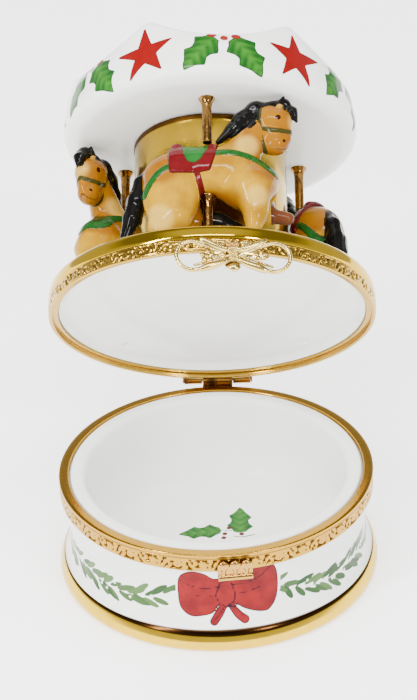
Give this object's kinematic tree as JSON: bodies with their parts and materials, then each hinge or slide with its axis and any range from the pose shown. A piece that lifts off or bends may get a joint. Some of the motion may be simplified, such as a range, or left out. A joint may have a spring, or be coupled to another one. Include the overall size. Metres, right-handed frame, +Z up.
{
  "type": "hinged trinket box with carousel lid",
  "caption": "Round hinged porcelain box with brass rims, a bow-shaped clasp and a fixed carousel of prancing horses under a scalloped canopy on its lid.",
  "frame": {"origin": "centre of the flat underside of the foot", "axes": "+Z up, -Y towards the front where the clasp is, hinge pin along X at the back; rest pose is the lid open"},
  "size_m": [0.0622, 0.0993, 0.098],
  "materials": {
    "white_porcelain": "glossy clear glaze over white porcelain, with painted decoration",
    "gilded_porcelain": "bright gilding over glaze, slightly brushed",
    "horse_porcelain": "honey and cream painted porcelain under a glossy glaze",
    "brass": "stamped and pierced brass, polished high spots with dark hollows",
    "post_brass": "dull antique brass"
  },
  "bodies": {
    "base": {"base_bowl": "white_porcelain", "base_bezel": "brass", "front_catch": "brass", "base_hinge_leaf": "brass", "hinge_pin": "brass"},
    "lid": {"lid_plate": "white_porcelain", "lid_bezel": "brass", "lid_hinge_leaf": "brass", "clasp_tongue": "brass", "clasp_bow": "brass", "column": "gilded_porcelain", "canopy": "white_porcelain", "horse_front": "horse_porcelain", "upper_post_front": "post_brass", "lower_post_front": "post_brass", "horse_right": "horse_porcelain", "upper_post_right": "post_brass", "lower_post_right": "post_brass", "horse_left": "horse_porcelain", "upper_post_left": "post_brass", "lower_post_left": "post_brass"}
  },
  "joints": [
    {"name": "lid_hinge", "type": "hinge", "parent": "base", "child": "lid", "pos_m": [0, 0.0324, 0.0215], "axis": [-1, 0, 0], "range_deg": [-51.6, 0]}
  ]
}
